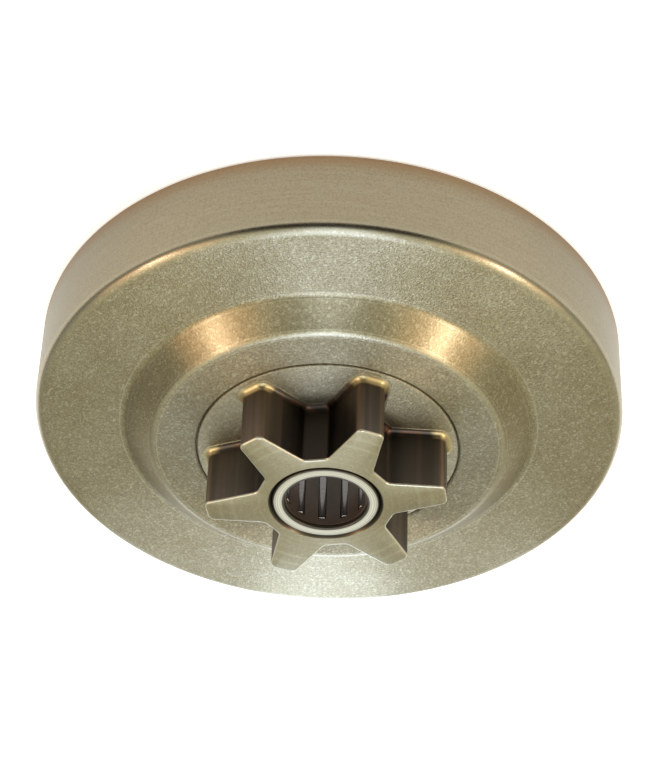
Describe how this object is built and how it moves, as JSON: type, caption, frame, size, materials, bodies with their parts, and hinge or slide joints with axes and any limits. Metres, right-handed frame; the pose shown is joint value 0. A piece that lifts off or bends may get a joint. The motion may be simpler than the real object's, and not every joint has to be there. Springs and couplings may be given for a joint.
{
  "type": "clutch drum",
  "caption": "Pressed steel clutch drum with a raised centre, a spur sprocket set into it and a caged needle bearing in its bore.",
  "frame": {"origin": "centre of the drum's open mouth, on the drum's axis and in the plane of its rim", "axes": "+Z along the drum's axis, from the open mouth towards the sprocket; +X and +Y across it, with the middle of one tooth 9.5 degrees from +X towards +Y"},
  "size_m": [0.078, 0.078, 0.025],
  "materials": {
    "drum_steel": "satin blasted face with a warm plated tint, turned outer wall",
    "sprocket_steel": "satin sintered steel",
    "bearing_steel": "smooth drawn steel",
    "cage_nylon": "moulded",
    "needle_steel": "ground and polished"
  },
  "bodies": {
    "drum": {"drum_cup": "drum_steel", "sprocket": "sprocket_steel", "bearing_cup": "bearing_steel"},
    "cage": {"needle_cage": "cage_nylon"},
    "needle_01": {"needle_01": "needle_steel"},
    "needle_02": {"needle_02": "needle_steel"},
    "needle_03": {"needle_03": "needle_steel"},
    "needle_04": {"needle_04": "needle_steel"},
    "needle_05": {"needle_05": "needle_steel"},
    "needle_06": {"needle_06": "needle_steel"},
    "needle_07": {"needle_07": "needle_steel"},
    "needle_08": {"needle_08": "needle_steel"},
    "needle_09": {"needle_09": "needle_steel"},
    "needle_10": {"needle_10": "needle_steel"},
    "needle_11": {"needle_11": "needle_steel"}
  },
  "joints": [
    {"name": "cage_turn", "type": "hinge", "parent": "drum", "child": "cage", "pos_m": [0, 0, 0.01995], "axis": [0, 0, 1], "continuous": true},
    {"name": "needle_01_spin", "type": "hinge", "parent": "cage", "child": "needle_01", "pos_m": [0.00539, 0.00193, 0.01995], "axis": [0, 0, 1], "continuous": true},
    {"name": "needle_02_spin", "type": "hinge", "parent": "cage", "child": "needle_02", "pos_m": [0.00349, 0.00453, 0.01995], "axis": [0, 0, 1], "continuous": true},
    {"name": "needle_03_spin", "type": "hinge", "parent": "cage", "child": "needle_03", "pos_m": [0.00048, 0.0057, 0.01995], "axis": [0, 0, 1], "continuous": true},
    {"name": "needle_04_spin", "type": "hinge", "parent": "cage", "child": "needle_04", "pos_m": [-0.00267, 0.00506, 0.01995], "axis": [0, 0, 1], "continuous": true},
    {"name": "needle_05_spin", "type": "hinge", "parent": "cage", "child": "needle_05", "pos_m": [-0.00498, 0.00281, 0.01995], "axis": [0, 0, 1], "continuous": true},
    {"name": "needle_06_spin", "type": "hinge", "parent": "cage", "child": "needle_06", "pos_m": [-0.00571, -0.00033, 0.01995], "axis": [0, 0, 1], "continuous": true},
    {"name": "needle_07_spin", "type": "hinge", "parent": "cage", "child": "needle_07", "pos_m": [-0.00462, -0.00337, 0.01995], "axis": [0, 0, 1], "continuous": true},
    {"name": "needle_08_spin", "type": "hinge", "parent": "cage", "child": "needle_08", "pos_m": [-0.00207, -0.00533, 0.01995], "axis": [0, 0, 1], "continuous": true},
    {"name": "needle_09_spin", "type": "hinge", "parent": "cage", "child": "needle_09", "pos_m": [0.00114, -0.0056, 0.01995], "axis": [0, 0, 1], "continuous": true},
    {"name": "needle_10_spin", "type": "hinge", "parent": "cage", "child": "needle_10", "pos_m": [0.00399, -0.0041, 0.01995], "axis": [0, 0, 1], "continuous": true},
    {"name": "needle_11_spin", "type": "hinge", "parent": "cage", "child": "needle_11", "pos_m": [0.00557, -0.00129, 0.01995], "axis": [0, 0, 1], "continuous": true}
  ],
  "couplings": [
    {"joint": "needle_01_spin", "follows": "cage_turn", "ratio": -9.1714},
    {"joint": "needle_02_spin", "follows": "cage_turn", "ratio": -9.1714},
    {"joint": "needle_03_spin", "follows": "cage_turn", "ratio": -9.1714},
    {"joint": "needle_04_spin", "follows": "cage_turn", "ratio": -9.1714},
    {"joint": "needle_05_spin", "follows": "cage_turn", "ratio": -9.1714},
    {"joint": "needle_06_spin", "follows": "cage_turn", "ratio": -9.1714},
    {"joint": "needle_07_spin", "follows": "cage_turn", "ratio": -9.1714},
    {"joint": "needle_08_spin", "follows": "cage_turn", "ratio": -9.1714},
    {"joint": "needle_09_spin", "follows": "cage_turn", "ratio": -9.1714},
    {"joint": "needle_10_spin", "follows": "cage_turn", "ratio": -9.1714},
    {"joint": "needle_11_spin", "follows": "cage_turn", "ratio": -9.1714}
  ]
}
